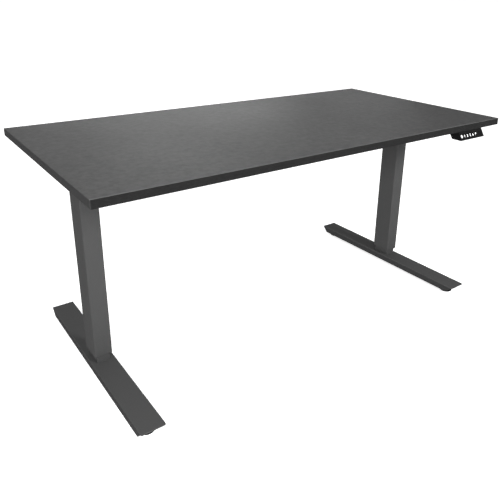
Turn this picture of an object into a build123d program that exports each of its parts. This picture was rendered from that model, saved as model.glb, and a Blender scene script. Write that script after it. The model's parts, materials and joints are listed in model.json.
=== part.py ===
"""Height adjustable standing desk.

Frame: X to the user's right, Y to the back, Z up, millimetres.
Origin: on the floor, under the middle of the desk top.  The desk is drawn at
its lowest height, with every glide screwed fully in.
"""
import os
from math import hypot

from build123d import *

os.makedirs("parts", exist_ok=True)

# ----------------------------------------------------------------- dimensions
# desk top
TOP_W, TOP_D, TOP_T = 1524.0, 762.0, 24.0
TOP_Z = 702.5                       # upper surface at the lowest height
UNDER_Z = TOP_Z - TOP_T             # underside of the board
LAM_T = 0.8                         # laminate on each face
BAND_T = 2.0                        # edge strips
BAND_R = 1.4                        # eased edge of the strips

# legs: column axis
LEG_X = 653.5
LEG_Y = 3.0
LIFT = 450.0                        # stroke of the columns

# outer tube (upper, wide) and inner tube (lower, narrow)
OUT_X, OUT_Y, OUT_T, OUT_R = 55.0, 83.0, 2.0, 5.0
OUT_Z0, OUT_Z1 = 62.5, 618.0
INN_X, INN_Y, INN_T, INN_R = 43.0, 73.0, 2.0, 4.0
INN_Z1 = 600.0
PLUG_H = 10.0                       # plate welded in the inner tube's foot end
BUSH_H, BUSH_LIP = 36.0, 1.5
RUN_GAP = 0.3                       # sliding clearance, plastic on tube
PAD_Z0, PAD_Z1 = 552.0, 598.0
PAD_TX = (OUT_X - 2 * OUT_T - INN_X) / 2 - RUN_GAP
PAD_TY = (OUT_Y - 2 * OUT_T - INN_Y) / 2 - RUN_GAP

# foot: pressed pan, open below, with sloping end walls
FOOT_W, FOOT_T = 72.5, 3.0
FOOT_Y0, FOOT_Y1 = -384.0, 370.0
FOOT_Z0, FOOT_Z1 = 12.5, 36.6
TIP_Z = FOOT_Z1 - FOOT_T            # the end walls slope in under a plain lip at the tips
LIP_L, TIP_L = 6.0, 26.0
FRONT_CORNER_R, REAR_CORNER_R, FOOT_EDGE_R = 5.0, 2.0, 1.0
BOSS_R, BOSS_Z0 = 9.0, 18.7
GLIDE_IN = 50.0                     # glide axis from each foot end
GLIDE_R, GLIDE_H = 23.0, 7.0
STUD_R, STUD_GAP, STUD_Z1 = 4.0, 0.08, 33.2
FOOT_BOLT_X, FOOT_BOLT_Y, FOOT_BOLT_R = 9.0, 24.0, 4.0

# head bracket and drive unit
HEAD_T, HEAD_W = 3.0, 124.0
HEAD_L0, HEAD_L1 = -45.0, 60.0      # along the desk, outward and inward of the column
HEAD_Z1 = 674.0
GB_L0, GB_L1 = -36.0, 42.0          # gearbox along the desk
GB_Y0, GB_Y1 = -44.0, 30.0          # gearbox across, from the column axis
GB_SPLIT, GB_Z1 = 661.0, 671.0
WORM_Z = 645.0
WHEEL_R, WHEEL_T = 22.0, 14.0
WORM_R, WORM_GAP = 7.0, 0.3
WORM_Y = -(WHEEL_R + WORM_R + WORM_GAP)
SHAFT_R, SHAFT_GAP = 4.0, 0.05
MOTOR_R, MOTOR_L = 22.0, 95.0
SPINDLE_R, SPINDLE_Z0, SPINDLE_TOP = 8.0, 112.0, 657.0
JOURNAL_R, SEAT_R = 6.95, 6.0
BEARING_Z0, BEARING_Z1, BEARING_R = 623.2, 632.0, 15.9
NUT_Z0, NUT_GAP = 572.0, 0.05
GB_SCREWS = [(-30.0, -38.0), (36.0, -38.0), (-30.0, 24.0), (36.0, 24.0)]
GB_SCREW_R = 2.5

# frame under the top
RAIL_Y, RAIL_W, RAIL_H, RAIL_T = 74.5, 25.0, 38.0, 1.5
RAIL_X = 700.0
RAIL_END_T = 6.0
BRK_T, BRK_FLANGE, BRK_Y = 3.0, 30.0, 300.0
BOLT_R, BOLT_HEAD_R, BOLT_HEAD_H, BOLT_L = 3.0, 5.5, 3.5, 14.0
BOLT_Z = 659.0
BOLT_L0, BOLT_L1 = -30.0, 45.0      # head bracket bolts along the desk

# wood screws
SCREW_R, SCREW_L, SCREW_HEAD_R, SCREW_HEAD_H = 2.0, 19.0, 4.5, 2.8
SHEET_T = 3.0                       # what each screw clamps

# control box
BOX_L, BOX_W, BOX_H, BOX_T = 240.0, 90.0, 33.0, 2.5
BOX_Y, BOX_EAR = 155.0, 17.0

# keypad
KEY_X0, KEY_X1 = 534.0, 669.0
FACE_TOP = (-373.0, UNDER_Z)        # y, z of the sloping face's edges
FACE_BOT = (-391.0, 648.2)
BACK_BOT = (-352.0, FACE_BOT[1])    # y, z of the leaning back wall
BACK_TOP = (-334.0, UNDER_Z - 3.0)
KEY_FLANGE, KEY_WALL = -303.0, 2.5
KEYS = ["set", "1", "2", "3", "up", "down"]
KEY_FIRST, KEY_PITCH = 544.0, 16.0
KEY_W, KEY_H, KEY_V = 12.8, 15.0, -2.0
KEY_PROUD, KEY_CLEAR = 1.0, 0.3
FASCIA_T, FASCIA_H = 2.0, 30.6

SIDES = {"left": -1.0, "right": 1.0}


def save(builder, name):
    builder.part.label = name
    export_step(builder.part, f"parts/{name}.step")


# ------------------------------------------------------------- screw positions
BRK_SCREW_X = RAIL_X + BRK_T + 0.5 * BRK_FLANGE
BRK_SCREW_Y = [-270.0, -150.0, 150.0, 270.0]
SCREWS = [(s * BRK_SCREW_X, y) for s in SIDES.values() for y in BRK_SCREW_Y]
BOX_SCREW_X = 0.5 * BOX_L + 0.5 * BOX_EAR
SCREWS += [(s * BOX_SCREW_X, BOX_Y + d) for s in SIDES.values() for d in (-28.0, 28.0)]
KEY_SCREWS = [(KEY_X0 + 22.0, -318.0), (KEY_X1 - 22.0, -318.0)]
SCREWS += KEY_SCREWS

# -------------------------------------------------------------------- desk top
with BuildPart() as core:
    with BuildSketch(Plane.XY.offset(UNDER_Z + LAM_T)):
        Rectangle(TOP_W - 2 * BAND_T, TOP_D - 2 * BAND_T)
    extrude(amount=TOP_T - 2 * LAM_T)
    with BuildSketch(Plane.XY.offset(UNDER_Z + LAM_T)):
        with Locations(*SCREWS):
            Circle(SCREW_R + 0.05)
    extrude(amount=SCREW_L - SHEET_T - LAM_T + 1.0, mode=Mode.SUBTRACT)
save(core, "desktop_core")

with BuildPart() as top_lam:
    with BuildSketch(Plane.XY.offset(TOP_Z - LAM_T)):
        Rectangle(TOP_W - 2 * BAND_T, TOP_D - 2 * BAND_T)
    extrude(amount=LAM_T)
save(top_lam, "top_laminate")

with BuildPart() as bottom_lam:
    with BuildSketch(Plane.XY.offset(UNDER_Z)):
        Rectangle(TOP_W - 2 * BAND_T, TOP_D - 2 * BAND_T)
        with Locations(*SCREWS):
            Circle(SCREW_R + 0.05, mode=Mode.SUBTRACT)
    extrude(amount=LAM_T)
save(bottom_lam, "bottom_laminate")

# long strips run the whole width, short strips sit between them
with BuildPart() as banding:
    for s in (-1, 1):
        with BuildSketch(Plane.YZ.offset(-TOP_W / 2)) as long_strip:
            with Locations((s * (TOP_D - BAND_T) / 2, UNDER_Z + TOP_T / 2)):
                Rectangle(BAND_T, TOP_T)
            fillet(long_strip.vertices().group_by(Axis.X)[-1 if s > 0 else 0], BAND_R)
        extrude(amount=TOP_W)
    for s in (-1, 1):
        with BuildSketch(Plane.XZ.offset(-(TOP_D / 2 - BAND_T - 0.05))) as short_strip:
            with Locations((s * (TOP_W - BAND_T) / 2, UNDER_Z + TOP_T / 2)):
                Rectangle(BAND_T, TOP_T)
            fillet(short_strip.vertices().group_by(Axis.X)[-1 if s > 0 else 0], BAND_R)
        extrude(amount=TOP_D - 2 * BAND_T - 0.1)
save(banding, "edge_banding")

with BuildPart() as screws:
    with BuildSketch(Plane.XY.offset(UNDER_Z - SHEET_T)):
        with Locations(*SCREWS):
            Circle(SCREW_R)
    extrude(amount=SCREW_L)
    with BuildSketch(Plane.XY.offset(UNDER_Z - SHEET_T - SCREW_HEAD_H)):
        with Locations(*SCREWS):
            Circle(SCREW_HEAD_R)
    extrude(amount=SCREW_HEAD_H)
    fillet(screws.edges().filter_by(GeomType.CIRCLE).group_by(Axis.Z)[0], 1.6)
    with BuildSketch(Plane.XY.offset(UNDER_Z - SHEET_T - SCREW_HEAD_H)):
        with Locations(*SCREWS):
            RegularPolygon(1.6, 6)
    extrude(amount=1.5, mode=Mode.SUBTRACT)
save(screws, "wood_screws")

# ----------------------------------------------------- frame under the desk top
for side, s in SIDES.items():
    web_x = s * RAIL_X
    with BuildPart() as bracket:
        # upright web, tapered towards the front and the back
        with BuildSketch(Plane(origin=(web_x, 0, 0), x_dir=(0, 1, 0), z_dir=(1, 0, 0))):
            with BuildLine():
                Polyline(
                    (-BRK_Y, UNDER_Z), (-BRK_Y, UNDER_Z - 14), (-BRK_Y + 130, UNDER_Z - RAIL_H),
                    (BRK_Y - 130, UNDER_Z - RAIL_H), (BRK_Y, UNDER_Z - 14), (BRK_Y, UNDER_Z), close=True)
            make_face()
        extrude(amount=s * BRK_T)
        # top flange that the board is screwed to
        with BuildSketch(Plane.XY.offset(UNDER_Z - SHEET_T)):
            with Locations((s * (RAIL_X + BRK_T / 2 + BRK_FLANGE / 2), 0)):
                RectangleRounded(BRK_FLANGE + BRK_T, 2 * BRK_Y, 1.4)
        extrude(amount=SHEET_T)
        with BuildSketch(Plane.XY.offset(UNDER_Z - SHEET_T)):
            with Locations(*[(s * BRK_SCREW_X, y) for y in BRK_SCREW_Y]):
                Circle(SCREW_R + 0.5)
        extrude(amount=SHEET_T, mode=Mode.SUBTRACT)
        with BuildSketch(Plane(origin=(web_x, 0, 0), x_dir=(0, 1, 0), z_dir=(1, 0, 0))):
            with Locations((LEG_Y - RAIL_Y, BOLT_Z), (LEG_Y + RAIL_Y, BOLT_Z)):
                Circle(BOLT_R + 0.1)
            # lightening slots
            with Locations((-170, UNDER_Z - 15), (170, UNDER_Z - 15), (LEG_Y, UNDER_Z - 19)):
                SlotOverall(44, 12)
        extrude(amount=s * BRK_T, mode=Mode.SUBTRACT)
    save(bracket, f"{side}_side_bracket")

for name, t in {"front": -1.0, "rear": 1.0}.items():
    y_rail = LEG_Y + t * RAIL_Y
    with BuildPart() as rail:
        with BuildSketch(Plane.YZ.offset(-RAIL_X)):
            with Locations((y_rail, UNDER_Z - RAIL_H / 2)):
                RectangleRounded(RAIL_W, RAIL_H, 2.5)
        extrude(amount=2 * RAIL_X)
        with BuildSketch(Plane.YZ.offset(-RAIL_X + RAIL_END_T)):
            with Locations((y_rail, UNDER_Z - RAIL_H / 2)):
                RectangleRounded(RAIL_W - 2 * RAIL_T, RAIL_H - 2 * RAIL_T, 1.0)
        extrude(amount=2 * (RAIL_X - RAIL_END_T), mode=Mode.SUBTRACT)
        # tapped holes in the end plates
        with BuildSketch(Plane.YZ.offset(-RAIL_X)):
            with Locations((y_rail, BOLT_Z)):
                Circle(BOLT_R + 0.05)
        extrude(amount=2 * RAIL_X, mode=Mode.SUBTRACT)
        # holes for the head bracket bolts in the wall that faces the legs
        with BuildSketch(Plane.XZ.offset(-(y_rail - t * RAIL_W / 2))):
            with Locations(*[(s * (LEG_X - b), BOLT_Z) for s in (-1, 1) for b in (BOLT_L0, BOLT_L1)]):
                Circle(BOLT_R + 0.05)
        extrude(amount=-t * RAIL_T, mode=Mode.SUBTRACT)
    save(rail, f"{name}_rail")

with BuildPart() as bolts:
    for s in (-1, 1):
        for t in (-1, 1):
            y_rail = LEG_Y + t * RAIL_Y
            out = Plane(origin=(s * (RAIL_X + BRK_T), y_rail, BOLT_Z), x_dir=(0, 1, 0), z_dir=(s, 0, 0))
            spots = [out]
            for b in (BOLT_L0, BOLT_L1):
                spots.append(Plane(origin=(s * (LEG_X - b), LEG_Y + t * (HEAD_W / 2 - HEAD_T), BOLT_Z),
                                   x_dir=(1, 0, 0), z_dir=(0, -t, 0)))
            for spot in spots:
                with BuildSketch(spot):
                    Circle(BOLT_HEAD_R)
                extrude(amount=BOLT_HEAD_H, taper=18)
                with BuildSketch(spot.offset(BOLT_HEAD_H)):
                    RegularPolygon(2.3, 6)
                extrude(amount=-2.0, mode=Mode.SUBTRACT)
                with BuildSketch(spot):
                    Circle(BOLT_R)
                extrude(amount=-BOLT_L)
save(bolts, "rail_bolts")

# ------------------------------------------------------------------------ legs
for side, s in SIDES.items():
    cx = s * LEG_X

    def along(lx, s=s):
        """X of a point lx inward of this leg's column axis."""
        return s * (LEG_X - lx)

    mid_plane = Plane(origin=(cx, LEG_Y, 0))
    inward = (-s, 0, 0)

    # wide upper tube
    with BuildPart() as outer_tube:
        with BuildSketch(mid_plane.offset(OUT_Z0)):
            RectangleRounded(OUT_X, OUT_Y, OUT_R)
            RectangleRounded(OUT_X - 2 * OUT_T, OUT_Y - 2 * OUT_T, OUT_R - OUT_T, mode=Mode.SUBTRACT)
        extrude(amount=OUT_Z1 - OUT_Z0)
    save(outer_tube, f"{side}_outer_tube")

    # plastic guide in the mouth of the wide tube, with a lip below it
    with BuildPart() as bush:
        with BuildSketch(mid_plane.offset(OUT_Z0)):
            RectangleRounded(OUT_X - 2 * OUT_T - 0.2, OUT_Y - 2 * OUT_T - 0.2, OUT_R - OUT_T)
        extrude(amount=BUSH_H)
        with BuildSketch(mid_plane.offset(OUT_Z0 - BUSH_LIP)):
            RectangleRounded(OUT_X - 1.0, OUT_Y - 1.0, OUT_R - 0.5)
        extrude(amount=BUSH_LIP)
        with BuildSketch(mid_plane.offset(OUT_Z0 - BUSH_LIP)):
            RectangleRounded(INN_X + 2 * RUN_GAP, INN_Y + 2 * RUN_GAP, INN_R + RUN_GAP)
        extrude(amount=BUSH_H + BUSH_LIP, mode=Mode.SUBTRACT)
    save(bush, f"{side}_guide_bush")

    # U-shaped head bracket welded on the tube
    with BuildPart() as head:
        with BuildSketch(Plane.XY.offset(OUT_Z1)):
            with Locations((along((HEAD_L0 + HEAD_L1) / 2), LEG_Y)):
                Rectangle(HEAD_L1 - HEAD_L0, HEAD_W)
        extrude(amount=HEAD_Z1 - OUT_Z1)
        fillet(head.edges().filter_by(Axis.X).group_by(Axis.Z)[0], 3.0)
        with BuildSketch(Plane.XY.offset(OUT_Z1 + HEAD_T)):
            with Locations((along((HEAD_L0 + HEAD_L1) / 2), LEG_Y)):
                Rectangle(HEAD_L1 - HEAD_L0, HEAD_W - 2 * HEAD_T)
        extrude(amount=HEAD_Z1 - OUT_Z1, mode=Mode.SUBTRACT)
        with BuildSketch(Plane.XY.offset(OUT_Z1)):
            with Locations((cx, LEG_Y)):
                Circle(12.0)
            with Locations(*[(along(a), LEG_Y + b) for a, b in GB_SCREWS]):
                Circle(GB_SCREW_R + 0.05)
        extrude(amount=HEAD_T, mode=Mode.SUBTRACT)
        with BuildSketch(Plane.XZ.offset(-(LEG_Y + HEAD_W / 2 + 1))):
            with Locations((along(BOLT_L0), BOLT_Z), (along(BOLT_L1), BOLT_Z)):
                Circle(BOLT_R + 0.1)
        extrude(amount=HEAD_W + 2, mode=Mode.SUBTRACT)
    save(head, f"{side}_head_bracket")

    # gearbox housing, open above, with pockets for the wheel, the worm and the bearing
    gb_x, gb_y = along((GB_L0 + GB_L1) / 2), LEG_Y + (GB_Y0 + GB_Y1) / 2
    gb_w, gb_d = GB_L1 - GB_L0, GB_Y1 - GB_Y0
    with BuildPart() as housing:
        with BuildSketch(Plane.XY.offset(OUT_Z1 + HEAD_T)):
            with Locations((gb_x, gb_y)):
                RectangleRounded(gb_w, gb_d, 6.0)
        extrude(amount=GB_SPLIT - OUT_Z1 - HEAD_T)
        with BuildSketch(Plane.XY.offset(BEARING_Z1 + 1.0)):
            with Locations((cx, LEG_Y)):
                Circle(WHEEL_R + 2.0)
            with Locations((cx, LEG_Y + WORM_Y)):
                Rectangle(44.0, 21.4)
        extrude(amount=GB_SPLIT - BEARING_Z1, mode=Mode.SUBTRACT)
        with BuildSketch(Plane.XY.offset(BEARING_Z0 - 0.2)):
            with Locations((cx, LEG_Y)):
                Circle(BEARING_R + 0.1)
        extrude(amount=12.0, mode=Mode.SUBTRACT)
        with BuildSketch(Plane.XY.offset(OUT_Z1)):
            with Locations((cx, LEG_Y)):
                Circle(SPINDLE_R + 0.5)
            with Locations(*[(along(a), LEG_Y + b) for a, b in GB_SCREWS]):
                Circle(GB_SCREW_R + 0.05)
        extrude(amount=60.0, mode=Mode.SUBTRACT)
        with BuildSketch(Plane(origin=(along(-31.0), LEG_Y + WORM_Y, WORM_Z), x_dir=(0, 1, 0), z_dir=inward)):
            Circle(SHAFT_R + SHAFT_GAP)
        extrude(amount=31.0 + GB_L1 + 1.0, mode=Mode.SUBTRACT)
    save(housing, f"{side}_gearbox_housing")

    with BuildPart() as cover:
        with BuildSketch(Plane.XY.offset(GB_SPLIT)):
            with Locations((gb_x, gb_y)):
                RectangleRounded(gb_w, gb_d, 6.0)
        extrude(amount=GB_Z1 - GB_SPLIT)
        fillet(cover.edges().group_by(Axis.Z)[-1], 2.0)
        with BuildSketch(Plane.XY.offset(GB_SPLIT)):
            with Locations(*[(along(a), LEG_Y + b) for a, b in GB_SCREWS]):
                Circle(GB_SCREW_R + 0.05)
        extrude(amount=20.0, mode=Mode.SUBTRACT)
    save(cover, f"{side}_gearbox_cover")

    # sealed motor on the inward face of the gearbox
    motor_plane = Plane(origin=(along(GB_L1), LEG_Y + WORM_Y, WORM_Z), x_dir=(0, 1, 0), z_dir=inward)
    with BuildPart() as motor:
        with BuildSketch(motor_plane):
            Circle(MOTOR_R)
        extrude(amount=4.0)
        with BuildSketch(motor_plane.offset(4.0)):
            Circle(MOTOR_R - 0.8)
        extrude(amount=MOTOR_L - 16.0)
        with BuildSketch(motor_plane.offset(MOTOR_L - 12.0)):
            Circle(MOTOR_R)
        extrude(amount=9.0)
        with BuildSketch(motor_plane.offset(MOTOR_L - 3.0)):
            Circle(MOTOR_R - 6.0)
        extrude(amount=3.0)
        # lead socket on the end cap
        with BuildSketch(motor_plane.offset(MOTOR_L - 3.0)):
            with Locations((0, -10.0)):
                RectangleRounded(14.0, 9.0, 1.5)
        extrude(amount=7.0)
        with BuildSketch(motor_plane.offset(MOTOR_L + 4.0)):
            with Locations((0, -10.0)):
                RectangleRounded(10.0, 5.0, 0.8)
        extrude(amount=-5.0, mode=Mode.SUBTRACT)
        with BuildSketch(motor_plane):
            Circle(SHAFT_R + SHAFT_GAP)
        extrude(amount=20.0, mode=Mode.SUBTRACT)
    save(motor, f"{side}_motor")

    with BuildPart() as bearing:
        with BuildSketch(mid_plane.offset(BEARING_Z0)):
            Circle(BEARING_R)
            Circle(JOURNAL_R + 0.05, mode=Mode.SUBTRACT)
        extrude(amount=BEARING_Z1 - BEARING_Z0)
    save(bearing, f"{side}_spindle_bearing")

    # lifting spindle with its stop collar, bearing journal and wheel seat
    with BuildPart() as spindle:
        with BuildSketch(Plane(origin=(cx, LEG_Y, 0), x_dir=(1, 0, 0), z_dir=(0, -1, 0))):
            with BuildLine():
                Polyline(
                    (0, SPINDLE_Z0), (11.0, SPINDLE_Z0), (11.0, SPINDLE_Z0 + 5), (SPINDLE_R, SPINDLE_Z0 + 5),
                    (SPINDLE_R, BEARING_Z0 - 0.3), (JOURNAL_R, BEARING_Z0 - 0.3), (JOURNAL_R, BEARING_Z1 + 1.0),
                    (SEAT_R, BEARING_Z1 + 1.0), (SEAT_R, SPINDLE_TOP), (0, SPINDLE_TOP), close=True)
            make_face()
        revolve(axis=Axis((cx, LEG_Y, 0), (0, 0, 1)))
    save(spindle, f"{side}_spindle")

    with BuildPart() as wheel:
        with BuildSketch(mid_plane.offset(BEARING_Z1 + 2.0)):
            Circle(12.0)
        extrude(amount=22.0)
        with BuildSketch(mid_plane.offset(WORM_Z - WHEEL_T / 2)):
            Circle(WHEEL_R)
        extrude(amount=WHEEL_T)
        # tooth gaps
        with BuildSketch(mid_plane.offset(WORM_Z - WHEEL_T / 2)):
            with PolarLocations(WHEEL_R, 30):
                Rectangle(3.6, 2.2)
        extrude(amount=WHEEL_T, mode=Mode.SUBTRACT)
        with BuildSketch(mid_plane.offset(BEARING_Z1 + 2.0)):
            Circle(SEAT_R)
        extrude(amount=22.0, mode=Mode.SUBTRACT)
    save(wheel, f"{side}_worm_wheel")

    with BuildPart() as worm:
        worm_plane = Plane(origin=(along(-30.0), LEG_Y + WORM_Y, WORM_Z), x_dir=(0, 1, 0), z_dir=inward)
        with BuildSketch(worm_plane):
            Circle(SHAFT_R)
        extrude(amount=90.0)
        with BuildSketch(worm_plane.offset(14.0)):
            Circle(WORM_R)
        extrude(amount=32.0)
        for n in range(7):
            with BuildSketch(worm_plane.offset(15.4 + 4.2 * n)):
                Circle(WORM_R)
                Circle(WORM_R - 1.8, mode=Mode.SUBTRACT)
            extrude(amount=2.2, mode=Mode.SUBTRACT)
    save(worm, f"{side}_worm_shaft")

    # narrow lower tube with the plate welded into its foot end
    with BuildPart() as inner_tube:
        with BuildSketch(mid_plane.offset(FOOT_Z1)):
            RectangleRounded(INN_X, INN_Y, INN_R)
        extrude(amount=INN_Z1 - FOOT_Z1)
        with BuildSketch(mid_plane.offset(FOOT_Z1 + PLUG_H)):
            RectangleRounded(INN_X - 2 * INN_T, INN_Y - 2 * INN_T, INN_R - INN_T)
        extrude(amount=INN_Z1 - FOOT_Z1 - PLUG_H, mode=Mode.SUBTRACT)
        with BuildSketch(mid_plane.offset(FOOT_Z1)):
            with GridLocations(2 * FOOT_BOLT_X, 2 * FOOT_BOLT_Y, 2, 2):
                Circle(FOOT_BOLT_R + 0.05)
        extrude(amount=PLUG_H, mode=Mode.SUBTRACT)
    save(inner_tube, f"{side}_inner_tube")

    # plastic block in the top of the narrow tube, bored for the spindle
    with BuildPart() as nut:
        with BuildSketch(mid_plane.offset(NUT_Z0)):
            RectangleRounded(INN_X - 2 * INN_T - 0.2, INN_Y - 2 * INN_T - 0.2, INN_R - INN_T)
        extrude(amount=INN_Z1 - NUT_Z0)
        with BuildSketch(mid_plane.offset(INN_Z1)):
            RectangleRounded(INN_X - 1.0, INN_Y - 1.0, INN_R - 0.5)
        extrude(amount=3.0)
        with BuildSketch(mid_plane.offset(NUT_Z0)):
            Circle(SPINDLE_R + NUT_GAP)
        extrude(amount=INN_Z1 - NUT_Z0 + 3.0, mode=Mode.SUBTRACT)
    save(nut, f"{side}_drive_nut")

    with BuildPart() as pads:
        with BuildSketch(mid_plane.offset(PAD_Z0)):
            with Locations((0, INN_Y / 2 + PAD_TY / 2), (0, -INN_Y / 2 - PAD_TY / 2)):
                Rectangle(30.0, PAD_TY)
            with Locations((INN_X / 2 + PAD_TX / 2, 0), (-INN_X / 2 - PAD_TX / 2, 0)):
                Rectangle(PAD_TX, 52.0)
        extrude(amount=PAD_Z1 - PAD_Z0)
    save(pads, f"{side}_slide_pads")

    # foot: pressed pan with sloping end walls and two welded nut bosses
    glide_y = {"front": FOOT_Y0 + GLIDE_IN, "rear": FOOT_Y1 - GLIDE_IN}
    with BuildPart() as foot:
        with BuildSketch(Plane(origin=(cx - FOOT_W / 2, 0, 0), x_dir=(0, 1, 0), z_dir=(1, 0, 0))):
            with BuildLine():
                Polyline(
                    (FOOT_Y0, FOOT_Z1), (FOOT_Y0, TIP_Z), (FOOT_Y0 + LIP_L, TIP_Z), (FOOT_Y0 + TIP_L, FOOT_Z0),
                    (FOOT_Y1 - TIP_L, FOOT_Z0), (FOOT_Y1 - LIP_L, TIP_Z), (FOOT_Y1, TIP_Z), (FOOT_Y1, FOOT_Z1),
                    close=True)
            make_face()
        extrude(amount=FOOT_W)
        corners = foot.edges().filter_by(Axis.Z).group_by(Axis.Y)
        fillet(corners[0], FRONT_CORNER_R)
        fillet(foot.edges().filter_by(Axis.Z).group_by(Axis.Y)[-1], REAR_CORNER_R)
        fillet(foot.edges().group_by(Axis.Z)[-1], FOOT_EDGE_R)
        # hollowed from below, leaving side walls and end walls of one thickness
        run, drop = TIP_L - LIP_L, TIP_Z - FOOT_Z0
        step = FOOT_T * (run**2 + drop**2) ** 0.5 / drop
        below = FOOT_Z0 - 2.0
        low = LIP_L + step + run * (TIP_Z - below) / drop
        with BuildSketch(Plane(origin=(cx - FOOT_W / 2 + FOOT_T, 0, 0), x_dir=(0, 1, 0), z_dir=(1, 0, 0))):
            with BuildLine():
                Polyline(
                    (FOOT_Y0 + LIP_L + step, TIP_Z), (FOOT_Y0 + low, below), (FOOT_Y1 - low, below),
                    (FOOT_Y1 - LIP_L - step, TIP_Z), close=True)
            make_face()
        extrude(amount=FOOT_W - 2 * FOOT_T, mode=Mode.SUBTRACT)
        for y in glide_y.values():
            with BuildSketch(Plane(origin=(cx, y, BOSS_Z0))):
                Circle(BOSS_R)
                Circle(STUD_R + STUD_GAP, mode=Mode.SUBTRACT)
            extrude(amount=FOOT_Z1 - FOOT_T - BOSS_Z0)
        with BuildSketch(mid_plane.offset(FOOT_Z1 - FOOT_T)):
            with GridLocations(2 * FOOT_BOLT_X, 2 * FOOT_BOLT_Y, 2, 2):
                Circle(FOOT_BOLT_R + 0.2)
        extrude(amount=FOOT_T, mode=Mode.SUBTRACT)
    save(foot, f"{side}_foot")

    with BuildPart() as foot_bolts:
        with BuildSketch(mid_plane.offset(FOOT_Z1 - FOOT_T - 5.0)):
            with GridLocations(2 * FOOT_BOLT_X, 2 * FOOT_BOLT_Y, 2, 2):
                Circle(6.5)
        extrude(amount=5.0)
        with BuildSketch(mid_plane.offset(FOOT_Z1 - FOOT_T)):
            with GridLocations(2 * FOOT_BOLT_X, 2 * FOOT_BOLT_Y, 2, 2):
                Circle(FOOT_BOLT_R)
        extrude(amount=FOOT_T + PLUG_H - 0.5)
        with BuildSketch(mid_plane.offset(FOOT_Z1 - FOOT_T - 5.0)):
            with GridLocations(2 * FOOT_BOLT_X, 2 * FOOT_BOLT_Y, 2, 2):
                RegularPolygon(3.4, 6)
        extrude(amount=3.0, mode=Mode.SUBTRACT)
    save(foot_bolts, f"{side}_foot_bolts")

    # levelling glides: round pad, hexagon neck, threaded stud
    for end, y in glide_y.items():
        with BuildPart() as glide:
            with BuildSketch(Plane(origin=(cx, y, 0), x_dir=(1, 0, 0), z_dir=(0, -1, 0))):
                with BuildLine():
                    Polyline(
                        (0, 0), (GLIDE_R - 1.5, 0), (GLIDE_R, 1.5), (GLIDE_R, GLIDE_H - 1.5), (GLIDE_R - 2.0, GLIDE_H),
                        (12.0, GLIDE_H + 2.5), (STUD_R, GLIDE_H + 2.5), (STUD_R, STUD_Z1), (0, STUD_Z1), close=True)
                make_face()
            revolve(axis=Axis((cx, y, 0), (0, 0, 1)))
            with BuildSketch(Plane(origin=(cx, y, GLIDE_H + 2.5))):
                RegularPolygon(7.5, 6)
            extrude(amount=5.0)
        save(glide, f"{side}_{end}_glide")

with BuildPart() as gb_screws:
    for s in SIDES.values():
        spots = [(s * (LEG_X - a), LEG_Y + b) for a, b in GB_SCREWS]
        with BuildSketch(Plane.XY.offset(GB_Z1)):
            with Locations(*spots):
                Circle(4.5)
        extrude(amount=4.0)
        with BuildSketch(Plane.XY.offset(OUT_Z1 + 0.5)):
            with Locations(*spots):
                Circle(GB_SCREW_R)
        extrude(amount=GB_Z1 - OUT_Z1 - 0.5)
        with BuildSketch(Plane.XY.offset(GB_Z1 + 4.0)):
            with Locations(*spots):
                RegularPolygon(2.3, 6)
        extrude(amount=-2.2, mode=Mode.SUBTRACT)
save(gb_screws, "gearbox_screws")

# ----------------------------------------------------------------- control box
BOX_Z1 = UNDER_Z - SHEET_T
BOX_Z0 = BOX_Z1 - BOX_H
INLET_X, INLET_Z = 60.0, BOX_Z0 + 16.0
with BuildPart() as case:
    with BuildSketch(Plane.XY.offset(BOX_Z0)):
        with Locations((0, BOX_Y)):
            RectangleRounded(BOX_L, BOX_W, 6.0)
    extrude(amount=BOX_H)
    fillet(case.edges().group_by(Axis.Z)[0], 3.0)
    with BuildSketch(Plane.XY.offset(BOX_Z0 + BOX_T)):
        with Locations((0, BOX_Y)):
            RectangleRounded(BOX_L - 2 * BOX_T, BOX_W - 2 * BOX_T, 3.5)
    extrude(amount=BOX_H, mode=Mode.SUBTRACT)
    # cooling slots in the underside
    with BuildSketch(Plane.XY.offset(BOX_Z0)):
        with Locations((-55, BOX_Y)):
            with GridLocations(9.0, 0, 9, 1):
                SlotOverall(46.0, 3.0, rotation=90)
    extrude(amount=BOX_T, mode=Mode.SUBTRACT)
    # mains inlet opening at the back, three lead sockets at the front
    with BuildSketch(Plane.XZ.offset(-(BOX_Y + BOX_W / 2))):
        with Locations((INLET_X, INLET_Z)):
            Rectangle(22.2, 12.2)
    extrude(amount=BOX_T, mode=Mode.SUBTRACT)
    with BuildSketch(Plane.XZ.offset(-(BOX_Y - BOX_W / 2))):
        with Locations((-70, INLET_Z), (-30, INLET_Z), (10, INLET_Z)):
            Rectangle(13.0, 10.0)
    extrude(amount=-BOX_T, mode=Mode.SUBTRACT)
save(case, "control_box_case")

with BuildPart() as base:
    with BuildSketch(Plane.XY.offset(BOX_Z1)):
        with Locations((0, BOX_Y)):
            RectangleRounded(BOX_L + 2 * BOX_EAR, BOX_W, 6.0)
        with Locations(*[(s * BOX_SCREW_X, BOX_Y + d) for s in (-1, 1) for d in (-28.0, 28.0)]):
            Circle(SCREW_R + 0.5, mode=Mode.SUBTRACT)
    extrude(amount=SHEET_T)
save(base, "control_box_base")

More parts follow.
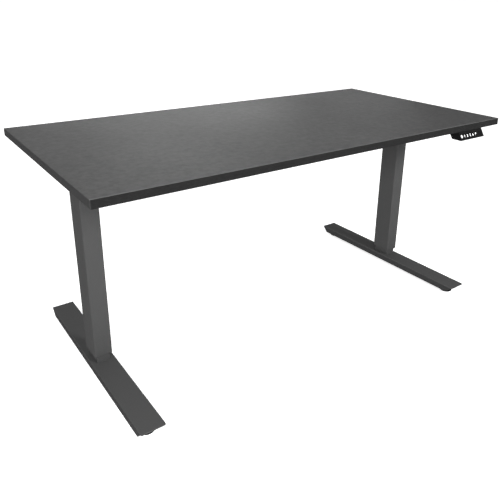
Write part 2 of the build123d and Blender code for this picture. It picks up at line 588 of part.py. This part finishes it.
with BuildPart() as inlet:
    # plate on the case's back wall, with a spigot into the wall
    back = BOX_Y + BOX_W / 2
    with BuildSketch(Plane.XZ.offset(-back)):
        with Locations((INLET_X, INLET_Z)):
            RectangleRounded(36.0, 25.0, 3.0)
    extrude(amount=-2.0)
    with BuildSketch(Plane.XZ.offset(-back)):
        with Locations((INLET_X, INLET_Z)):
            Rectangle(22.0, 12.0)
    extrude(amount=6.0)
    # shroud that the plug goes into, with three contact blades
    with BuildSketch(Plane.XZ.offset(-(back + 2.0))):
        with Locations((INLET_X, INLET_Z)):
            RectangleRounded(29.0, 21.0, 3.0)
            RectangleRounded(24.0, 16.5, 2.0, mode=Mode.SUBTRACT)
    extrude(amount=-16.0)
    with BuildSketch(Plane.XZ.offset(-(back + 2.0))):
        with Locations((INLET_X - 7.0, INLET_Z - 2.0), (INLET_X, INLET_Z + 2.0), (INLET_X + 7.0, INLET_Z - 2.0)):
            Rectangle(2.0, 4.0)
    extrude(amount=-11.0)
save(inlet, "mains_inlet")

# ---------------------------------------------------------------------- keypad
slope = hypot(FACE_TOP[0] - FACE_BOT[0], FACE_TOP[1] - FACE_BOT[1])
up_y, up_z = (FACE_TOP[0] - FACE_BOT[0]) / slope, (FACE_TOP[1] - FACE_BOT[1]) / slope
face = Plane(
    origin=((KEY_X0 + KEY_X1) / 2, (FACE_TOP[0] + FACE_BOT[0]) / 2, (FACE_TOP[1] + FACE_BOT[1]) / 2),
    x_dir=(1, 0, 0), z_dir=(0, -up_z, up_y))
KEY_MID = (KEY_X0 + KEY_X1) / 2
key_spots = [(KEY_FIRST + KEY_PITCH * n - KEY_MID, KEY_V) for n in range(len(KEYS))]
SCREEN_X, SCREEN_W, SCREEN_H = 651.0 - KEY_MID, 20.0, 15.0


def on_face(v, w):
    """Y and Z of a point v up the sloping face and w out of it."""
    return (face.origin.Y + v * up_y - w * up_z, face.origin.Z + v * up_z + w * up_y)


def back_y(z):
    """Y of the leaning back wall's outside at height z."""
    return BACK_BOT[0] + (BACK_TOP[0] - BACK_BOT[0]) * (z - BACK_BOT[1]) / (BACK_TOP[1] - BACK_BOT[1])


with BuildPart() as key_housing:
    with BuildSketch(Plane.YZ.offset(KEY_X0)) as profile:
        with BuildLine():
            Polyline(
                FACE_TOP, FACE_BOT, BACK_BOT, BACK_TOP,
                (KEY_FLANGE, UNDER_Z - SHEET_T), (KEY_FLANGE, UNDER_Z), close=True)
        make_face()
        fillet(profile.vertices().sort_by_distance(BACK_BOT)[0], 5.0)
        fillet(profile.vertices().sort_by_distance(FACE_BOT)[0], 0.9)
    extrude(amount=KEY_X1 - KEY_X0)
    # hollow behind the fascia, and the shallow seat that the fascia lies in
    with BuildSketch(Plane.YZ.offset(KEY_X0 + KEY_WALL)):
        with BuildLine():
            a, b = on_face(12.8, -FASCIA_T), on_face(-13.2, -FASCIA_T)
            Polyline(a, b, (back_y(b[1]) - 3.6, b[1]), (back_y(a[1]) - 3.6, a[1]), close=True)
        make_face()
    extrude(amount=KEY_X1 - KEY_X0 - 2 * KEY_WALL, mode=Mode.SUBTRACT)
    with BuildSketch(face.offset(-FASCIA_T)):
        RectangleRounded(KEY_X1 - KEY_X0 - 4.0, FASCIA_H + 0.2, 2.2)
    extrude(amount=FASCIA_T + 1.0, mode=Mode.SUBTRACT)
    with BuildSketch(Plane.XY.offset(UNDER_Z - SHEET_T)):
        with Locations(*KEY_SCREWS):
            Circle(SCREW_R + 0.5)
    extrude(amount=SHEET_T, mode=Mode.SUBTRACT)
    # lead socket in the back wall
    lean = (BACK_TOP[0] - BACK_BOT[0], BACK_TOP[1] - BACK_BOT[1])
    with BuildSketch(Plane(origin=(KEY_MID, back_y(663.0), 663.0), x_dir=(1, 0, 0), z_dir=(0, lean[1], -lean[0]))):
        Rectangle(12.0, 9.0)
    extrude(amount=-4.0, mode=Mode.SUBTRACT)
save(key_housing, "keypad_housing")

with BuildPart() as fascia:
    with BuildSketch(face.offset(-FASCIA_T)):
        RectangleRounded(KEY_X1 - KEY_X0 - 4.2, FASCIA_H, 2.1)
        with Locations(*key_spots):
            RectangleRounded(KEY_W + 2 * KEY_CLEAR, KEY_H + 2 * KEY_CLEAR, 2.3, mode=Mode.SUBTRACT)
        with Locations((SCREEN_X, KEY_V)):
            RectangleRounded(SCREEN_W + 0.1, SCREEN_H + 0.1, 1.5, mode=Mode.SUBTRACT)
    extrude(amount=FASCIA_T)
save(fascia, "keypad_fascia")

with BuildPart() as screen:
    with BuildSketch(face.offset(-FASCIA_T)):
        with Locations((SCREEN_X, KEY_V)):
            RectangleRounded(SCREEN_W, SCREEN_H, 1.5)
    extrude(amount=FASCIA_T - 0.2)
save(screen, "keypad_display")

with BuildPart() as pcb:
    with BuildSketch(face.offset(-7.2)):
        with Locations((0, 0.6)):
            Rectangle(KEY_X1 - KEY_X0 - 14.0, 20.4)
    extrude(amount=1.6)
save(pcb, "keypad_pcb")

for key, spot in zip(KEYS, key_spots):
    with BuildPart() as button:
        # cap that stands through the fascia
        with BuildSketch(face.offset(-4.5)):
            with Locations(spot):
                RectangleRounded(KEY_W, KEY_H, 2.0)
        extrude(amount=4.5 + KEY_PROUD)
        top_edges = button.faces().sort_by(Axis(face.origin, face.z_dir))[-1].edges()
        fillet(top_edges, 0.5)
        # flange that keeps it behind the fascia
        with BuildSketch(face.offset(-4.5)):
            with Locations(spot):
                RectangleRounded(KEY_W + 1.4, KEY_H + 1.4, 2.0)
        extrude(amount=1.2)
    save(button, f"button_{key}")
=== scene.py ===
import json
import math

import bmesh
import bpy
from mathutils import Matrix, Vector


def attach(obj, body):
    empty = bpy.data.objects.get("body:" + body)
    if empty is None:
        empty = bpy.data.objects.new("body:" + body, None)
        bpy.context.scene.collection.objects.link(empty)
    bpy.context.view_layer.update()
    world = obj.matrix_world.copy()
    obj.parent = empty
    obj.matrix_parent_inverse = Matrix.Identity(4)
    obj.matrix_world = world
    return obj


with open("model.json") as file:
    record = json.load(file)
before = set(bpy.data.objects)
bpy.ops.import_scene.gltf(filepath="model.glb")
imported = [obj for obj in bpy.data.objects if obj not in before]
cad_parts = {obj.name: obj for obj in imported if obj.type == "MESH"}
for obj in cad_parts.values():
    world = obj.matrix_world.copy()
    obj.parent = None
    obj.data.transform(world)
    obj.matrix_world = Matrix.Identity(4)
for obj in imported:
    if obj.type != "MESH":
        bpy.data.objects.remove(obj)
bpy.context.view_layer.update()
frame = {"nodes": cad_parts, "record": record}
nodes = frame["nodes"]
scene = bpy.context.scene


# ------------------------------------------------------------------ materials
# the light is strong enough to burn the floor out to white, so the desk's own
# surfaces are this much darker than they appear
DEPTH = 0.65


class Finish:
    """A Principled material whose patterns are in object space, in metres."""

    def __init__(self, name, depth=DEPTH, **values):
        self.depth = depth
        self.mat = bpy.data.materials.new(name)
        self.mat.use_nodes = True
        self.tree = self.mat.node_tree
        self.tree.nodes.clear()
        out = self.tree.nodes.new("ShaderNodeOutputMaterial")
        self.bsdf = self.tree.nodes.new("ShaderNodeBsdfPrincipled")
        self.tree.links.new(self.bsdf.outputs["BSDF"], out.inputs["Surface"])
        self.coord = self.tree.nodes.new("ShaderNodeTexCoord").outputs["Object"]
        for key, value in values.items():
            if key == "Specular_IOR_Level":
                value *= depth
            self.bsdf.inputs[key.replace("_", " ")].default_value = value

    def node(self, kind, inputs=None, **props):
        n = self.tree.nodes.new(kind)
        for key, value in props.items():
            setattr(n, key, value)
        for key, value in (inputs or {}).items():
            if hasattr(value, "is_output"):
                self.tree.links.new(value, n.inputs[key])
            else:
                n.inputs[key].default_value = value
        return n

    def stretch(self, x, y, z):
        return self.node("ShaderNodeMapping", {"Vector": self.coord, "Scale": (x, y, z)}).outputs["Vector"]

    def noise(self, scale, detail=2.0, roughness=0.5, vector=None, distortion=0.0):
        return self.node(
            "ShaderNodeTexNoise",
            {"Vector": vector or self.coord, "Scale": scale, "Detail": detail,
             "Roughness": roughness, "Distortion": distortion}).outputs["Fac"]

    def cells(self, scale, feature="F1", vector=None):
        return self.node("ShaderNodeTexVoronoi", {"Vector": vector or self.coord, "Scale": scale},
                         feature=feature).outputs["Distance"]

    def bands(self, scale, direction, distortion=0.0):
        return self.node("ShaderNodeTexWave", {"Vector": self.coord, "Scale": scale, "Distortion": distortion},
                         wave_type="BANDS", bands_direction=direction).outputs["Fac"]

    def spread(self, value, low, high, from_low=0.3, from_high=0.7):
        return self.node(
            "ShaderNodeMapRange",
            {"Value": value, "From Min": from_low, "From Max": from_high, "To Min": low, "To Max": high}
        ).outputs["Result"]

    def maths(self, operation, a, b):
        return self.node("ShaderNodeMath", {0: a, 1: b}, operation=operation).outputs[0]

    def ramp(self, value, *stops):
        n = self.node("ShaderNodeValToRGB", {"Fac": value})
        while len(n.color_ramp.elements) < len(stops):
            n.color_ramp.elements.new(1.0)
        for e, (place, colour) in zip(n.color_ramp.elements, stops):
            e.position = place
            e.color = (*(c * self.depth for c in colour), 1.0)
        return n.outputs["Color"]

    def mix(self, factor, a, b, blend="MIX"):
        n = self.node("ShaderNodeMix", data_type="RGBA", blend_type=blend)
        for i, v in ((0, factor), (6, a), (7, b)):
            if hasattr(v, "is_output"):
                self.tree.links.new(v, n.inputs[i])
            else:
                n.inputs[i].default_value = v if i == 0 else (*(c * self.depth for c in v), 1.0)
        return n.outputs[2]

    def bump(self, height, strength, distance, normal=None):
        ins = {"Height": height, "Strength": strength, "Distance": distance}
        if normal is not None:
            ins["Normal"] = normal
        return self.node("ShaderNodeBump", ins).outputs["Normal"]

    def use(self, colour=None, roughness=None, normal=None):
        for key, value in (("Base Color", colour), ("Roughness", roughness), ("Normal", normal)):
            if value is not None:
                self.tree.links.new(value, self.bsdf.inputs[key])
        return self.mat


def grey(v, tint=0.0):
    return (v * (1.0 - tint), v, v * (1.0 + tint))


def top_laminate():
    f = Finish("charcoal_laminate", Specular_IOR_Level=0.29)
    pores = f.noise(950.0, 3.0, 0.6)
    streaks = f.noise(1.0, 3.0, 0.6, f.stretch(62.0, 64.0, 62.0))
    clouds = f.noise(2.6, 2.0, 0.5)
    a = f.ramp(f.maths("ADD", f.maths("MULTIPLY", pores, 0.35), f.maths("MULTIPLY", streaks, 0.65)),
               (0.36, grey(0.051)), (0.64, grey(0.0955)))
    colour = f.mix(f.spread(clouds, 0.0, 0.3), a, grey(0.075))
    rough = f.maths("ADD", f.spread(pores, 0.50, 0.62), f.spread(clouds, -0.02, 0.03))
    height = f.bump(pores, 0.10, 0.0006)
    return f.use(colour, rough, height)


def backer():
    f = Finish("backer_sheet", Specular_IOR_Level=0.3)
    fibres = f.noise(1.0, 4.0, 0.6, f.stretch(60.0, 420.0, 60.0))
    colour = f.ramp(fibres, (0.35, grey(0.045)), (0.65, grey(0.066)))
    return f.use(colour, f.spread(fibres, 0.55, 0.68), f.bump(fibres, 0.08, 0.0005))


def chipboard():
    f = Finish("chipboard", Specular_IOR_Level=0.25)
    chips = f.cells(330.0, vector=f.stretch(0.5, 0.5, 1.6))
    dust = f.noise(800.0, 3.0, 0.6)
    colour = f.mix(0.35, f.ramp(chips, (0.1, (0.50, 0.37, 0.22)), (0.7, (0.30, 0.20, 0.11))),
                   f.ramp(dust, (0.35, (0.26, 0.17, 0.09)), (0.65, (0.56, 0.43, 0.28))))
    return f.use(colour, f.spread(dust, 0.75, 0.9), f.bump(chips, 0.25, 0.0006))


def edge_band():
    """The front and back strips carry painted shade and the end strips painted light, so the front and back are
    darker than the ends.

    Their rounded upper edge carries a painted highlight, lighter than the rest of the strip.
    """
    f = Finish("edge_band", Specular_IOR_Level=0.05)
    x = f.node("ShaderNodeSeparateXYZ", {"Vector": f.coord}).outputs["X"]
    at_end = f.maths("GREATER_THAN", f.maths("ABSOLUTE", x, 0.0), 0.7602)
    fine = f.noise(1.0, 3.0, 0.6, f.stretch(140.0, 140.0, 900.0))
    shaded_long_strip = f.ramp(fine, (0.35, grey(0.012)), (0.65, grey(0.0205)))
    lit_end_strip = f.ramp(fine, (0.35, grey(0.030)), (0.65, grey(0.043)))
    z = f.node("ShaderNodeSeparateXYZ", {"Vector": f.coord}).outputs["Z"]
    # painted shade on the front and back strips, painted light on the end strips
    colour = f.mix(at_end, shaded_long_strip, lit_end_strip)
    # painted highlight along the rounded upper edge
    painted_edge_highlight = f.ramp(fine, (0.35, grey(0.100)), (0.65, grey(0.125)))
    colour = f.mix(f.spread(z, 0.0, 1.0, 0.7008, 0.7016), colour, painted_edge_highlight)
    return f.use(colour, f.spread(fine, 0.62, 0.74), f.bump(fine, 0.06, 0.0004))


def powder_coat():
    f = Finish("powder_coat", Specular_IOR_Level=0.02)
    peel = f.noise(620.0, 2.0, 0.5)
    grain = f.noise(2400.0, 2.0, 0.6)
    clouds = f.noise(7.0, 3.0, 0.55)
    a = f.ramp(grain, (0.35, grey(0.062)), (0.65, grey(0.077)))
    colour = f.mix(f.spread(clouds, 0.0, 0.45), a, grey(0.074))
    # on the feet the coat carries painted light on the upper face, lighter, and painted shade on the sides below
    # it, darker, set by height
    z = f.node("ShaderNodeSeparateXYZ", {"Vector": f.coord}).outputs["Z"]
    painted_lit_top = f.ramp(grain, (0.35, grey(0.081)), (0.65, grey(0.098)))
    painted_shade_side = f.ramp(grain, (0.35, grey(0.043)), (0.65, grey(0.054)))
    colour = f.mix(f.spread(z, 1.0, 0.0, 0.0369, 0.0373), colour, painted_lit_top)
    colour = f.mix(f.spread(z, 1.0, 0.0, 0.0325, 0.0360), colour, painted_shade_side)
    rough = f.maths("ADD", f.spread(peel, 0.66, 0.78), f.spread(clouds, -0.03, 0.03))
    normal = f.bump(peel, 0.10, 0.0008, f.bump(grain, 0.08, 0.0002))
    return f.use(colour, rough, normal)


def moulded(name, low, high, rough_low, rough_high, level=0.4, grain_scale=1800.0, strength=0.14):
    """Moulded plastic with a fine eroded texture."""
    f = Finish(name, Specular_IOR_Level=level)
    grain = f.noise(grain_scale, 3.0, 0.6)
    clouds = f.noise(22.0, 2.0, 0.5)
    colour = f.mix(f.spread(clouds, 0.0, 0.4), f.ramp(grain, (0.35, low), (0.65, high)), low)
    return f.use(colour, f.spread(grain, rough_low, rough_high), f.bump(grain, strength, 0.0003))


def gloss_panel(name, low, high, rough_low, rough_high, level=0.5):
    """Smooth plastic with faint handling marks."""
    f = Finish(name, Specular_IOR_Level=level)
    smear = f.noise(60.0, 4.0, 0.65, distortion=0.6)
    fine = f.noise(900.0, 2.0, 0.5)
    colour = f.ramp(smear, (0.3, low), (0.7, high))
    return f.use(colour, f.spread(smear, rough_low, rough_high), f.bump(fine, 0.02, 0.0002))


def metal(name, low, high, rough_low, rough_high, stretch=(300.0, 300.0, 300.0), strength=0.06):
    f = Finish(name, Metallic=1.0)
    wear = f.noise(45.0, 4.0, 0.6)
    lines = f.noise(1.0, 3.0, 0.6, f.stretch(*stretch))
    colour = f.mix(0.4, f.ramp(lines, (0.3, low), (0.7, high)), f.ramp(wear, (0.3, low), (0.7, high)))
    rough = f.maths("ADD", f.spread(lines, rough_low, rough_high), f.spread(wear, -0.05, 0.05))
    return f.use(colour, rough, f.bump(lines, strength, 0.0003))


def cast_metal():
    f = Finish("cast_aluminium", Metallic=1.0)
    skin = f.noise(420.0, 4.0, 0.65)
    pits = f.cells(260.0)
    colour = f.ramp(skin, (0.3, grey(0.40, 0.01)), (0.7, grey(0.56, 0.01)))
    height = f.maths("ADD", f.maths("MULTIPLY", skin, 0.7), f.maths("MULTIPLY", pits, 0.3))
    return f.use(colour, f.spread(skin, 0.46, 0.66), f.bump(height, 0.28, 0.0005))


def painted(name, low, high, rough_low, rough_high):
    f = Finish(name, Specular_IOR_Level=0.5)
    peel = f.noise(380.0, 2.0, 0.5)
    dust = f.noise(35.0, 4.0, 0.6)
    colour = f.ramp(dust, (0.3, low), (0.7, high))
    return f.use(colour, f.spread(peel, rough_low, rough_high), f.bump(peel, 0.10, 0.0006))


def board_green():
    f = Finish("circuit_board", Specular_IOR_Level=0.5)
    tracks = f.node("ShaderNodeTexBrick", {"Vector": f.coord, "Scale": 120.0, "Mortar Size": 0.035,
                                          "Color1": (0.007, 0.056, 0.022, 1), "Color2": (0.009, 0.067, 0.028, 1),
                                          "Mortar": (0.028, 0.134, 0.056, 1)})
    fine = f.noise(700.0, 2.0, 0.5)
    return f.use(tracks.outputs["Color"], f.spread(fine, 0.3, 0.45), f.bump(tracks.outputs["Fac"], 0.1, 0.0001))


def print_white():
    f = Finish("key_print", depth=1.0, Specular_IOR_Level=0.2)
    fine = f.noise(3200.0, 2.0, 0.5)
    return f.use(f.ramp(fine, (0.3, (0.84, 0.84, 0.84)), (0.7, (0.93, 0.93, 0.93))),
                 f.spread(fine, 0.5, 0.65), f.bump(fine, 0.05, 0.0001))


FINISHES = {
    "top_laminate": top_laminate(),
    "backer_laminate": backer(),
    "board_core": chipboard(),
    "edge_band": edge_band(),
    "powder_coat": powder_coat(),
    "zinc_fastener": metal("zinc_fastener", (0.50, 0.50, 0.49), (0.68, 0.68, 0.69), 0.28, 0.46),
    "black_fastener": painted("black_fastener", grey(0.020), grey(0.034), 0.34, 0.48),
    "cast_aluminium": cast_metal(),
    "motor_case": painted("motor_case", grey(0.016), grey(0.026), 0.30, 0.42),
    "ground_steel": metal("ground_steel", (0.48, 0.49, 0.50), (0.64, 0.65, 0.66), 0.20, 0.34,
                          (40.0, 40.0, 1500.0), 0.10),
    "bearing_steel": metal("bearing_steel", (0.62, 0.63, 0.64), (0.74, 0.75, 0.76), 0.10, 0.18),
    "gear_polymer": moulded("gear_polymer", (0.70, 0.68, 0.60), (0.80, 0.78, 0.70), 0.34, 0.46),
    "nut_polymer": moulded("nut_polymer", (0.72, 0.72, 0.70), (0.82, 0.82, 0.80), 0.34, 0.48),
    "guide_polymer": moulded("guide_polymer", grey(0.022), grey(0.032), 0.44, 0.60),
    "glide_rubber": moulded("glide_rubber", grey(0.004), grey(0.008), 0.60, 0.78, 0.12, 1200.0, 0.22),
    "box_plastic": moulded("box_plastic", grey(0.020), grey(0.030), 0.46, 0.62),
    "inlet_plastic": gloss_panel("inlet_plastic", grey(0.010), grey(0.016), 0.24, 0.36),
    "keypad_plastic": moulded("keypad_plastic", grey(0.003), grey(0.006), 0.46, 0.60, 0.08),
    "keypad_panel": gloss_panel("keypad_panel", grey(0.008), grey(0.013), 0.34, 0.46, 0.10),
    "display_window": gloss_panel("display_window", grey(0.003, 0.1), grey(0.005, 0.1), 0.08, 0.16, 0.28),
    "circuit_board": board_green(),
    "button_plastic": moulded("button_plastic", grey(0.006), grey(0.010), 0.48, 0.62, 0.10),
}
slots = {s["node"]: s["material_slot"] for s in frame["record"]["subparts"]}
for name, obj in nodes.items():
    obj.data.materials.clear()
    obj.data.materials.append(FINISHES[slots[name]])


def add_mesh(name, mesh, body, material):
    obj = bpy.data.objects.new(name, mesh)
    scene.collection.objects.link(obj)
    mesh.materials.clear()
    mesh.materials.append(material)
    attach(obj, body)
    return obj


# --------------------------------------------------------------- keypad legends
# the sloping keypad face: right along it, up it, and out of it
MM = 0.001
KEY_MID = 601.5
FACE_AT = Vector((KEY_MID, -382.0, 663.35)) * MM
SLOPE = math.hypot(18.0, 30.3)
FACE_RIGHT = Vector((1.0, 0.0, 0.0))
FACE_UP = Vector((0.0, 18.0 / SLOPE, 30.3 / SLOPE))
FACE_OUT = FACE_RIGHT.cross(FACE_UP)
KEYS = ["set", "1", "2", "3", "up", "down"]
KEY_FIRST, KEY_PITCH, KEY_V, KEY_TOP = 544.0, 16.0, -2.0, 1.0


def on_key(index, w):
    """Matrix that puts a flat mark, drawn in millimetres, on a key's cap."""
    at = FACE_AT + FACE_RIGHT * (KEY_FIRST + KEY_PITCH * index - KEY_MID) * MM + FACE_UP * KEY_V * MM + FACE_OUT * w * MM
    turn = Matrix((FACE_RIGHT, FACE_UP, FACE_OUT)).transposed()
    return Matrix.Translation(at) @ turn.to_4x4() @ Matrix.Scale(MM, 4)


def arc(cx, cy, rx, ry, a0, a1, n=24):
    return [(cx + rx * math.cos(math.radians(a0 + (a1 - a0) * i / n)),
             cy + ry * math.sin(math.radians(a0 + (a1 - a0) * i / n))) for i in range(n + 1)]


def stroke(bm, points, width, closed=False, low=-0.06, high=0.05):
    """A flat stroke of one width along a line of points, with square ends."""
    pts = [Vector(p) for p in points]
    n = len(pts)
    rows = []
    for i, p in enumerate(pts):
        a = pts[(i - 1) % n] if closed or i else p
        b = pts[(i + 1) % n] if closed or i < n - 1 else p
        d0, d1 = (p - a), (b - p)
        d0 = d0.normalized() if d0.length > 1e-9 else d1.normalized()
        d1 = d1.normalized() if d1.length > 1e-9 else d0
        side = Vector((-(d0 + d1).y, (d0 + d1).x)).normalized()
        miter = 1.0 / max(0.5, side.dot(Vector((-d0.y, d0.x))))
        o = side * (width / 2 * miter)
        rows.append([bm.verts.new((*(p + o), low)), bm.verts.new((*(p - o), low)),
                     bm.verts.new((*(p - o), high)), bm.verts.new((*(p + o), high))])
    for i in range(n if closed else n - 1):
        r, s = rows[i], rows[(i + 1) % n]
        for k in range(4):
            bm.faces.new((r[k], r[(k + 1) % 4], s[(k + 1) % 4], s[k]))
    if not closed:
        bm.faces.new(rows[0][::-1])
        bm.faces.new(rows[-1])


def solid(bm, points, low=-0.06, high=0.05):
    """A flat filled shape."""
    bottom = [bm.verts.new((*p, low)) for p in points]
    top = [bm.verts.new((*p, high)) for p in points]
    bm.faces.new(bottom[::-1])
    bm.faces.new(top)
    for i in range(len(points)):
        j = (i + 1) % len(points)
        bm.faces.new((bottom[i], bottom[j], top[j], top[i]))


def rounded(corners, radius, n=6):
    """A polygon with its corners rounded."""
    out = []
    for i, c in enumerate(corners):
        p, a, b = Vector(c), Vector(corners[i - 1]), Vector(corners[(i + 1) % len(corners)])
        u, v = (a - p).normalized(), (b - p).normalized()
        half = math.acos(max(-1.0, min(1.0, u.dot(v)))) / 2
        cut = radius / math.tan(half)
        start, end = p + u * cut, p + v * cut
        for k in range(n + 1):
            t = k / n
            out.append(tuple((1 - t) ** 2 * start + 2 * t * (1 - t) * p + t * t * end))
    return out


def draw_key(bm, key):
    if key == "set":
        stroke(bm, arc(0, 0, 3.9, 3.9, 0, 360, 48)[:-1], 2.6, closed=True)
    elif key == "1":
        stroke(bm, [(-1.9, 2.2), (0.5, 3.4)], 2.1)
        stroke(bm, [(0.5, 4.4), (0.5, -4.4)], 2.5)
    elif key == "2":
        stroke(bm, arc(0, 1.75, 2.0, 1.75, 165, -35, 26) + [(-2.0, -3.2)], 2.2)
        stroke(bm, [(-3.0, -3.4), (3.0, -3.4)], 2.1)
    elif key == "3":
        stroke(bm, arc(-0.15, 1.85, 2.0, 1.7, 155, -80, 26), 2.2)
        stroke(bm, arc(-0.15, -1.75, 2.2, 1.8, 80, -155, 26), 2.2)
    elif key == "up":
        solid(bm, rounded([(-4.2, -3.8), (4.2, -3.8), (0.0, 4.4)], 0.6))
    elif key == "down":
        solid(bm, rounded([(4.2, 3.8), (-4.2, 3.8), (0.0, -4.4)], 0.6))


PRINT = print_white()
for i, key in enumerate(KEYS):
    bm = bmesh.new()
    draw_key(bm, key)
    bmesh.ops.scale(bm, vec=(0.90, 1.0, 1.0), verts=bm.verts)
    bmesh.ops.transform(bm, matrix=on_key(i, KEY_TOP), verts=bm.verts)
    bmesh.ops.recalc_face_normals(bm, faces=bm.faces)
    mesh = bpy.data.meshes.new("mark_" + key)
    bm.to_mesh(mesh)
    bm.free()
    add_mesh("mark_" + key, mesh, "button_" + key, PRINT)


# ------------------------------------------------------------ floor, light, view
def stage_floor():
    """A white light table, faintly lit from below."""
    bm = bmesh.new()
    bmesh.ops.create_grid(bm, x_segments=1, y_segments=1, size=120.0)
    mesh = bpy.data.meshes.new("floor")
    bm.to_mesh(mesh)
    bm.free()
    f = Finish("pale_floor", depth=1.0, Specular_IOR_Level=0.0,
               Emission_Color=(1.0, 1.0, 1.0, 1.0), Emission_Strength=0.62)
    soft = f.noise(1.2, 2.0, 0.5)
    mesh.materials.append(f.use(f.ramp(soft, (0.3, grey(0.88)), (0.7, grey(0.90))), f.spread(soft, 0.9, 1.0)))
    obj = bpy.data.objects.new("floor", mesh)
    obj.location = (0.0, 0.0, -0.0002)
    scene.collection.objects.link(obj)


def sun(name, strength, spread, travels):
    data = bpy.data.lights.new(name, "SUN")
    data.energy = strength
    data.angle = math.radians(spread)
    obj = bpy.data.objects.new(name, data)
    obj.rotation_mode = "QUATERNION"
    obj.rotation_quaternion = Vector(travels).to_track_quat("-Z", "Y")
    scene.collection.objects.link(obj)


def panel(name, power, width, height, at, aim, glare=True):
    data = bpy.data.lights.new(name, "AREA")
    data.shape = "RECTANGLE"
    data.size, data.size_y = width, height
    data.energy = power
    obj = bpy.data.objects.new(name, data)
    obj.location = at
    obj.rotation_mode = "QUATERNION"
    obj.rotation_quaternion = (Vector(aim) - Vector(at)).to_track_quat("-Z", "Y")
    obj.visible_camera = False
    obj.visible_glossy = glare
    scene.collection.objects.link(obj)


def studio():
    world = bpy.data.worlds.new("studio")
    scene.world = world
    world.use_nodes = True
    t = world.node_tree
    t.nodes.clear()
    out = t.nodes.new("ShaderNodeOutputWorld")
    lit, seen = t.nodes.new("ShaderNodeBackground"), t.nodes.new("ShaderNodeBackground")
    choose, path = t.nodes.new("ShaderNodeMixShader"), t.nodes.new("ShaderNodeLightPath")
    coord, split = t.nodes.new("ShaderNodeTexCoord"), t.nodes.new("ShaderNodeSeparateXYZ")
    ramp = t.nodes.new("ShaderNodeValToRGB")
    t.links.new(coord.outputs["Generated"], split.inputs["Vector"])
    t.links.new(split.outputs["Z"], ramp.inputs["Fac"])
    e = ramp.color_ramp.elements
    e[0].position, e[0].color = 0.0, (0.12, 0.12, 0.12, 1)
    e[1].position, e[1].color = 1.0, (0.85, 0.85, 0.85, 1)
    t.links.new(ramp.outputs["Color"], lit.inputs["Color"])
    lit.inputs["Strength"].default_value = 0.75
    seen.inputs["Color"].default_value = (1.0, 1.0, 1.0, 1)
    t.links.new(path.outputs["Is Camera Ray"], choose.inputs["Fac"])
    t.links.new(lit.outputs[0], choose.inputs[1])
    t.links.new(seen.outputs[0], choose.inputs[2])
    t.links.new(choose.outputs[0], out.inputs["Surface"])


def camera():
    data = bpy.data.cameras.new("camera")
    data.sensor_fit = "HORIZONTAL"
    data.sensor_width = 36.0
    data.lens = 39.70385
    data.shift_x, data.shift_y = -0.046746, -0.120676
    data.clip_start, data.clip_end = 0.05, 400.0
    forward = Vector((0.57274, 0.74736, -0.33678)).normalized()
    right = Vector((0.79806, -0.60222, 0.02079))
    right = (right - forward * right.dot(forward)).normalized()
    turn = Matrix((right, right.cross(forward), -forward)).transposed()
    obj = bpy.data.objects.new("camera", data)
    obj.matrix_world = Matrix.Translation((-1.11310, -1.47442, 1.12077)) @ turn.to_4x4()
    scene.collection.objects.link(obj)
    scene.camera = obj


stage_floor()
sun("left_low", 0.33, 12.0, (0.90, -0.35, -0.20))
panel("front_right", 81.0, 0.6, 0.6, (0.75, -2.7, 1.85), (0.45, 0.0, 0.35), glare=False)
panel("front_left", 93.0, 0.8, 0.8, (-1.8, -2.35, 1.7), (-0.5, 0.0, 0.35), glare=False)
panel("front_low", 2.0, 1.6, 0.6, (0.0, -2.7, 0.85), (0.0, 0.0, 0.5))
for k, (power, x, aim_x) in enumerate(
        ((5.6, 0.2, -0.6), (13.2, 1.2, -0.3), (13.4, 2.2, 0.0), (4.6, 3.2, 0.3), (8.4, 4.4, 0.5))):
    panel(f"back_{k}", power, 1.0, 0.8, (x, 3.5, 1.35), (aim_x, 0.2, 0.7))
studio()
camera()
scene.view_settings.view_transform = "Standard"
scene.view_settings.look = "None"

bpy.context.view_layer.update()
